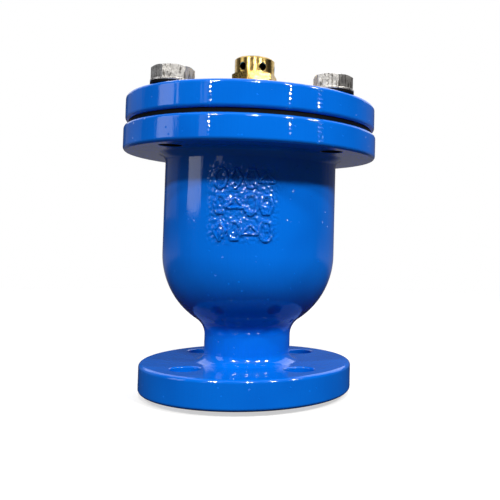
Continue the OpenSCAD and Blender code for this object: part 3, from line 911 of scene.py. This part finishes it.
class VALVE_OT_casting(bpy.types.Operator):
    """Cast body: pipe flange, neck, bowl and cover flange in blue enamel"""

    bl_idname = "valve.casting"
    bl_label = "Cast body"

    # Spacings from the bore to the first groove, and how many grooves the plain edges of the face replace
    FIRST_GROOVE = 1.75
    PLAIN_GROOVES = 2

    def execute(self, context):
        s = context.scene.valve_casting
        bolts = context.scene.valve_bolts
        top = high("valve_body")
        flange_top = s.raised_t + s.flange_t
        neck_top = flange_top + s.neck_h
        knuckle_x = s.bowl_r - s.knuckle_r
        fillet_x = s.neck_r + s.neck_fillet
        knuckle_z = neck_top + math.sqrt((s.knuckle_r + s.neck_fillet) ** 2 - (fillet_x - knuckle_x) ** 2)
        bowl_top = knuckle_z + s.bowl_straight
        inner_r = s.knuckle_r - s.bowl_wall
        mouth_r = s.bowl_r - s.bowl_wall
        inlet_r = INLET["r_mm"] * MM
        neck_angle = math.degrees(math.atan2(knuckle_z - neck_top, knuckle_x - fillet_x))
        inlet_angle = math.degrees(math.acos((inlet_r - knuckle_x) / inner_r))
        outside = (
            [(inlet_r, 0)]
            + self.grooves(s, inlet_r)
            + [(s.raised_r, 0), (s.raised_r, s.raised_t)]
            + rim(s.flange_r, s.raised_t, flange_top, s.edge_r)
            + arc(s.neck_r + s.foot_fillet, flange_top + s.foot_fillet, s.foot_fillet, 270, 180)
            + arc(fillet_x, neck_top, s.neck_fillet, 180, neck_angle)
            + arc(knuckle_x, knuckle_z, s.knuckle_r, neck_angle - 180, 0, 3)
            + side(s.bowl_r, knuckle_z, bowl_top - s.crown_fillet)
            + arc(s.bowl_r + s.crown_fillet, bowl_top - s.crown_fillet, s.crown_fillet, 180, 90)
            + rim(reach("valve_body"), bowl_top, top, s.edge_r)
        )
        inside = [
            (mouth_r + s.mouth_chamfer, top),
            (mouth_r, top - s.mouth_chamfer),
        ] + arc(knuckle_x, knuckle_z, inner_r, 0, -inlet_angle)
        body = revolve("valve_casting", outside + inside)
        cast_skin(body, s.wave, s.wave_gap, flange_top + s.edge_r, top - 4 * s.edge_r)
        hole_r = PIPE_BOLTS["hole_r_mm"] * MM
        pipe_holes = on_circle(
            hole_tool("pipe_hole", hole_r, s.raised_t, flange_top, s.hole_lip),
            PIPE_BOLTS["count"],
            PIPE_BOLTS["pcd_mm"] * MM / 2,
            s.pipe_hole_turn,
        )
        tapped = bolt_holes("bolt_hole", bolts, bolts.thread_hole_r, bowl_top, top, s.hole_lip / 2)
        carve(body, "DIFFERENCE", pipe_holes, tapped)
        even_normals(settle(body))
        dress(body, "blue_enamel", "blue_epoxy", "valve_body")
        return {"FINISHED"}

    def grooves(self, s, inlet_r):
        """Turned grooves in the sealing face, from the bore outwards."""
        points = []
        number = int((s.raised_r - inlet_r) / s.groove_gap) - self.PLAIN_GROOVES
        for i in range(number):
            r = inlet_r + (i + self.FIRST_GROOVE) * s.groove_gap
            points += [(r - s.groove_t, 0), (r, s.groove_t), (r + s.groove_t, 0)]
        return points


class VALVE_OT_marks(bpy.types.Operator):
    """Rows of plain raised outlines cast on the front of the bowl"""

    bl_idname = "valve.marks"
    bl_label = "Cast marks"

    def execute(self, context):
        s = context.scene.valve_marks
        values = {item.name: getattr(s, item.identifier) for item in fields(s)}
        values["Bowl radius"] = context.scene.valve_casting.bowl_r
        values["Material"] = finish("blue_enamel")
        marks = grow("cast_marks", raised_marks, values)
        marks.data.shade_smooth()
        dress(marks, "blue_enamel", "blue_epoxy")
        return {"FINISHED"}


class VALVE_OT_cover(bpy.types.Operator):
    """Round cover with its centre boss, in blue enamel"""

    bl_idname = "valve.cover"
    bl_label = "Cover"

    def execute(self, context):
        s = context.scene.valve_casting
        bolts = context.scene.valve_bolts
        z0 = low("cover")
        z1 = z0 + s.cover_t
        top = high("cover")
        step = top - s.cap_hole_t
        profile = (
            [(s.seal_recess_r, z0)]
            + rim(reach("cover"), z0, z1, s.edge_r)
            + arc(s.boss_r + s.boss_fillet, z1 + s.boss_fillet, s.boss_fillet, 270, 180)
            + arc(s.boss_r - s.edge_r, top - s.edge_r, s.edge_r, 0, 90, 9)
            + [(s.cap_hole_r, top), (s.cap_hole_r, step), (s.nozzle_hole_r, step)]
            + [(s.nozzle_hole_r, z0 + s.seal_recess_t), (s.seal_recess_r, z0 + s.seal_recess_t)]
        )
        cover = revolve("cover_casting", profile)
        cast_skin(cover, s.wave, s.wave_gap, z0 + 2 * s.edge_r, z1 - s.edge_r)
        drilled = bolt_holes("cover_hole", bolts, bolts.hole_r, z0, z1, s.hole_lip / 3)
        carve(cover, "DIFFERENCE", drilled, self.screw_holes(bolts, z0))
        even_normals(settle(cover))
        dress(cover, "blue_enamel", "blue_epoxy", "cover")
        return {"FINISHED"}

    def screw_holes(self, bolts, z0):
        """Blind holes for the bracket's screws, where the screws are."""
        first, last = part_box("bracket_screws")
        out = last.y - bolts.screw_head_r
        drill = [(0, z0 - MM), (bolts.screw_hole_r, z0 - MM)]
        depth = [(bolts.screw_hole_r, z0 + bolts.screw_hole_t), (0, z0 + bolts.screw_hole_t + MM)]
        tool = on_circle(revolve("screw_hole", drill + depth, SMALL_SEGMENTS), 2, out, math.pi / 2)
        tool.data.transform(Matrix.Translation(((first.x + last.x) / 2, 0, 0)))
        return tool


class VALVE_OT_bolts(bpy.types.Operator):
    """Zinc hexagon bolts, bright washers and black washers of the cover"""

    bl_idname = "valve.bolts"
    bl_label = "Cover bolts"

    # Depth of the thread as a share of its pitch, and rounding of the washers' edges
    THREAD_DEPTH = 0.6
    BRIGHT_EDGE = 0.2 * MM
    BLACK_EDGE = 0.35 * MM

    def execute(self, context):
        s = context.scene.valve_bolts
        bolts = ring_of("hex_bolts", self.bolt(s), s, "zinc_plate")
        dress(bolts, "zinc_plate", "zinc_steel", "cover_bolts")
        washer = self.washer(s, "bolt_washers", self.BRIGHT_EDGE)
        bright = ring_of("bright_washers", washer, s, "zinc_plate")
        dress(bright, "zinc_plate", "zinc_steel", "bolt_washers")
        washer = self.washer(s, "bolt_pads", self.BLACK_EDGE)
        black = ring_of("black_washers", washer, s, "sheet_rubber")
        dress(black, "sheet_rubber", "black_rubber", "bolt_pads")
        return {"FINISHED"}

    def bolt(self, s):
        """One bolt on the axis: a chamfered head and a threaded shank."""
        top = high("cover_bolts")
        seat = top - s.head_h
        head = chamfered_hexagon("bolt_head", s.across_flats, seat, top)
        shank = revolve("bolt_shank", self.thread(s, seat), SMALL_SEGMENTS)
        carve(head, "UNION", shank)
        return even_normals(settle(head))

    def thread(self, s, seat):
        """Profile of the shank with the crests and roots of its thread."""
        tip = seat - s.shank_l
        root = s.shank_r - self.THREAD_DEPTH * s.thread_pitch
        points = [(0, tip), (root, tip), (s.shank_r, tip + s.tip)]
        turns = int((s.shank_l - 3 * s.tip) / s.thread_pitch)
        for i in range(turns):
            z = tip + s.tip + (i + 0.5) * s.thread_pitch
            points += [(root, z), (s.shank_r, z + 0.5 * s.thread_pitch)]
        return points + [(s.shank_r, seat + MM), (0, seat + MM)]

    def washer(self, s, node, edge):
        """One washer on the axis, as high as its node."""
        z0 = low(node)
        z1 = high(node)
        outer = rim(s.washer_r, z0, z1, edge)
        ring = revolve(node + "_shape", [(s.hole_r, z0)] + outer + [(s.hole_r, z1)], SMALL_SEGMENTS)
        return even_normals(ring)


class VALVE_OT_vent_cap(bpy.types.Operator):
    """Brass vent cap: a hexagon with a round hood and a ring of vent holes"""

    bl_idname = "valve.vent_cap"
    bl_label = "Vent cap"

    def execute(self, context):
        s = context.scene.valve_cap
        bottom = low("vent_cap")
        top = high("vent_cap")
        seat = high("cap_seal")
        hood = seat + s.hex_h
        cap = chamfered_hexagon("brass_vent_cap", s.across_flats, seat, hood)
        cap.data.transform(Matrix.Rotation(s.turn, 4, "Z"))
        edge = 0.25 * s.hood_chamfer
        profile = [
            (0, bottom),
            (s.thread_r - edge, bottom),
            (s.thread_r, bottom + edge),
            (s.thread_r, hood - 2 * s.hood_chamfer),
            (s.hood_r, hood - s.hood_chamfer),
            (s.hood_r, top - s.hood_chamfer),
            (s.hood_r - s.hood_chamfer, top),
            (0, top),
        ]
        bore = [(0, bottom - MM), (s.bore_r, bottom - MM), (s.bore_r, top - s.roof_t), (0, top - s.roof_t)]
        carve(cap, "UNION", revolve("hood", profile, 2 * SMALL_SEGMENTS))
        carve(cap, "DIFFERENCE", revolve("bore", bore, SMALL_SEGMENTS), self.vents(s, hood + s.vent_h))
        even_normals(settle(cap))
        dress(cap, "cap_brass", "brass", "vent_cap")
        return {"FINISHED"}

    def vents(self, s, z):
        """Cutters of the vent holes, each with a small countersink."""
        end = s.hood_r + MM
        start = 0.75 * s.bore_r
        drill = [(0, start), (s.vent_r, start), (s.vent_r, s.hood_r - s.vent_lip)]
        sunk = [(s.vent_r + s.vent_lip + MM, end), (0, end)]
        tool = revolve("vent", drill + sunk, SMALL_SEGMENTS)
        shape = bmesh.new()
        for i in range(s.vents):
            copy = tool.data.copy()
            turn = s.vent_start + math.tau * i / s.vents
            copy.transform(Matrix.Translation((0, 0, z)) @ Euler((0, math.pi / 2, turn)).to_matrix().to_4x4())
            shape.from_mesh(copy)
            bpy.data.meshes.remove(copy)
        bpy.data.objects.remove(tool)
        return from_bmesh("vents", shape)


class VALVE_OT_inner_pieces(bpy.types.Operator):
    """Finishes of the pieces that keep their own solids: seals, nozzle, lever and float"""

    bl_idname = "valve.inner_pieces"
    bl_label = "Seals, lever and float"

    MATERIALS = {
        "sheet_rubber": ("cover_gasket", "nozzle_seal", "seal_button"),
        "soft_copper": ("cap_seal",),
        "turned_brass": ("orifice_nozzle", "seal_holder"),
        "plain_steel": (
            "lever_bracket", "bracket_screws", "pivot_pin", "pivot_clip", "lever", "holder_nut",
            "float_ball", "float_lug", "float_pin", "float_clip",
        ),
    }

    def execute(self, context):
        for material, nodes in self.MATERIALS.items():
            for name in nodes:
                coat(frame["nodes"][name], material)
        return {"FINISHED"}


class VALVE_OT_stage(bpy.types.Operator):
    """Camera, lamps, pale floor and the room that the gloss reflects"""

    bl_idname = "valve.stage"
    bl_label = "Stage"

    SENSOR_MM = 36
    DISC_SEGMENTS = 96
    WARM = (1.0, 0.98, 0.95)
    COOL = (0.93, 0.95, 1.0)
    # Name, azimuth and elevation in degrees, distance, width and height in metres, watts and tint: a row of
    # compact lamps in front, a tall window and a strip on the left, and soft lamps behind
    LAMPS = (
        ("lamp_1", -38, 38, 1.3, 0.09, 0.09, 8.0, WARM),
        ("lamp_2", 1, 38, 1.3, 0.09, 0.09, 6.4, WARM),
        ("lamp_3", 33, 38, 1.3, 0.09, 0.09, 7.2, WARM),
        ("lamp_4", 61, 38, 1.3, 0.09, 0.09, 5.6, WARM),
        ("window", -78, 17, 1.2, 0.40, 0.62, 1.15, COOL),
        ("strip", -42, 15, 1.2, 0.12, 0.50, 0.10, COOL),
        ("side", -128, 20, 1.2, 0.8, 0.8, 0.25, COOL),
        ("back_left", -160, 42, 1.3, 1.3, 1.3, 5.0, COOL),
        ("back_right", 145, 42, 1.3, 1.3, 1.3, 6.0, COOL),
    )

    def execute(self, context):
        s = context.scene.valve_studio
        context.scene.view_settings.view_transform = "Standard"
        self.camera(context, s)
        self.world(context, s)
        self.floor(s)
        self.room(s)
        for settings in self.LAMPS:
            self.lamp(*settings)
        return {"FINISHED"}

    def camera(self, context, s):
        """Sets the camera at the photograph's angle."""
        level = math.cos(s.pitch)
        ahead = Vector((math.sin(s.yaw) * level, math.cos(s.yaw) * level, math.sin(s.pitch)))
        right = Vector((math.cos(s.yaw), -math.sin(s.yaw), 0))
        down = ahead.cross(right)
        x = math.cos(s.roll) * right + math.sin(s.roll) * down
        y = math.sin(s.roll) * right - math.cos(s.roll) * down
        data = bpy.data.cameras.new("camera")
        data.sensor_width = self.SENSOR_MM
        data.lens = s.focal / MM
        data.shift_x = s.shift_x
        data.shift_y = s.shift_y
        data.clip_start = 10 * MM
        camera = new_object("camera", data)
        turn = Matrix((x, y, -ahead)).transposed().to_4x4()
        camera.matrix_world = Matrix.Translation((0, -s.distance, s.height)) @ turn
        context.scene.camera = camera

    def world(self, context, s):
        """White to the camera, in gloss and through glass, and a dim even light on the valve."""
        world = bpy.data.worlds.new("studio")
        world.use_nodes = True
        g = Graph(world.node_tree)
        seen = g.node("ShaderNodeLightPath", None, None, "Is Camera Ray")
        shown = seen.most(seen.other("Is Glossy Ray")).most(seen.other("Is Transmission Ray"))
        strength = shown * (1.0 - s.ambient) + s.ambient
        white = {"Color": (1.0, 1.0, 1.0, 1.0), "Strength": strength}
        light = g.node("ShaderNodeBackground", None, white)
        g.node("ShaderNodeOutputWorld", None, {"Surface": light})
        context.scene.world = world

    def disc(self, radius):
        """A round face about the valve's axis."""
        shape = bmesh.new()
        bmesh.ops.create_circle(shape, cap_ends=True, segments=self.DISC_SEGMENTS, radius=radius)
        return shape

    def lowered(self, name, shape, drop):
        """A stage object from a shape, a little under the valve."""
        bmesh.ops.translate(shape, verts=shape.verts, vec=(0, 0, -drop))
        return from_bmesh(name, shape)

    def floor(self, s):
        """A pale disc that keeps the valve's shadow and fades into the white round it."""
        floor = self.lowered("floor", self.disc(s.floor_r), s.floor_drop)
        floor.visible_diffuse = False
        look = Finish("pale_floor")
        away = look.node("ShaderNodeVectorMath", {"operation": "LENGTH"}, {0: look.place}, "Value")
        pale = look.node("ShaderNodeBsdfDiffuse", None, {"Color": opaque(s.floor)})
        glow = look.node("ShaderNodeEmission", None, {"Strength": s.glow})
        lit = look.node("ShaderNodeAddShader", None, {0: pale, 1: glow})
        clear = look.node("ShaderNodeBsdfTransparent")
        below = look.node("ShaderNodeNewGeometry", None, None, "Backfacing")
        gone = away.ramp(0.25, 0.9, s.floor_r).most(below)
        surface = look.node("ShaderNodeMixShader", None, {0: gone, 1: lit, 2: clear})
        floor.data.materials.append(look.end(surface))

    def room(self, s):
        """A room that only gloss sees: dim in front of the valve, paler behind it and above."""
        shape = self.disc(s.wall_r)
        rims = [edge for edge in shape.edges if edge.is_boundary]
        grown = bmesh.ops.extrude_edge_only(shape, edges=rims)["geom"]
        upper = [item for item in grown if isinstance(item, bmesh.types.BMVert)]
        bmesh.ops.translate(shape, verts=upper, vec=(0, 0, s.wall_h))
        edges = [item for item in grown if isinstance(item, bmesh.types.BMEdge) and item.is_boundary]
        bmesh.ops.contextual_create(shape, geom=edges)
        room = self.lowered("room", shape, s.room_drop)
        look = Finish("room_walls")
        x, y, z = look.xyz(look.node("ShaderNodeVectorMath", {"operation": "NORMALIZE"}, {0: look.place}))
        behind = look.mix(x.ramp(-0.5, 0.5), s.room_left, s.room_right)
        walls = look.mix(y.ramp(0.1, 0.8), s.room, behind)
        walls = look.mix(z.ramp(0.80, 0.86), walls, s.room_ceiling)
        _, back, _ = look.xyz(look.place)
        ground = look.mix(back.ramp(0.15, 0.5), s.room_floor, s.room_floor_back)
        tone = look.mix(z.ramp(0.0, 0.06), ground, walls)
        room.data.materials.append(look.end(look.node("ShaderNodeEmission", None, {"Color": tone})))
        look.material.cycles.emission_sampling = "NONE"
        for ray in ("camera", "diffuse", "transmission", "volume_scatter", "shadow"):
            setattr(room, "visible_" + ray, False)

    def lamp(self, name, azimuth, elevation, distance, width, height, watts, tint):
        """A rectangular lamp aimed at the bowl; azimuth 0 is in front, 90 on the right."""
        a = math.radians(azimuth)
        e = math.radians(elevation)
        target = Vector((0, 0, CAD_BOX[1].z / 2))
        away = Vector((math.sin(a) * math.cos(e), -math.cos(a) * math.cos(e), math.sin(e)))
        data = bpy.data.lights.new(name, "AREA")
        data.shape = "RECTANGLE"
        data.size = width
        data.size_y = height
        data.energy = watts
        data.color = tint
        lamp = new_object(name, data)
        lamp.location = target + away * distance
        lamp.rotation_euler = (-away).to_track_quat("-Z", "Y").to_euler()


class VALVE_PT_panel(bpy.types.Panel):
    """Lists the valve's operators and sizes"""

    bl_idname = "VALVE_PT_panel"
    bl_label = "Air release valve"
    bl_space_type = "VIEW_3D"
    bl_region_type = "UI"
    bl_category = "Valve"

    def draw(self, context):
        for operator in OPERATORS:
            self.layout.operator(operator.bl_idname)
        for name in GROUPS:
            group = getattr(context.scene, name)
            box = self.layout.box()
            box.label(text=group.bl_rna.description)
            for item in fields(group):
                box.prop(group, item.identifier)


OPERATORS = (
    VALVE_OT_stage,
    VALVE_OT_casting,
    VALVE_OT_marks,
    VALVE_OT_cover,
    VALVE_OT_bolts,
    VALVE_OT_vent_cap,
    VALVE_OT_inner_pieces,
)
GROUPS = {
    "valve_casting": CastingSizes,
    "valve_marks": MarkSizes,
    "valve_bolts": BoltSizes,
    "valve_cap": CapSizes,
    "valve_finishes": Finishes,
    "valve_studio": StudioSettings,
}


def register():
    """Adds the property groups, the operators and the panel."""
    for name, group in GROUPS.items():
        bpy.utils.register_class(group)
        setattr(bpy.types.Scene, name, PointerProperty(type=group))
    for item in (*OPERATORS, VALVE_PT_panel):
        bpy.utils.register_class(item)


def unregister():
    """Removes what register added."""
    for item in (VALVE_PT_panel, *reversed(OPERATORS)):
        bpy.utils.unregister_class(item)
    for name, group in reversed(GROUPS.items()):
        delattr(bpy.types.Scene, name)
        bpy.utils.unregister_class(group)


def main():
    """Builds every piece in order."""
    register()
    for operator in OPERATORS:
        getattr(bpy.ops.valve, operator.bl_idname.split(".")[1])()


if __name__ == "__main__":
    main()
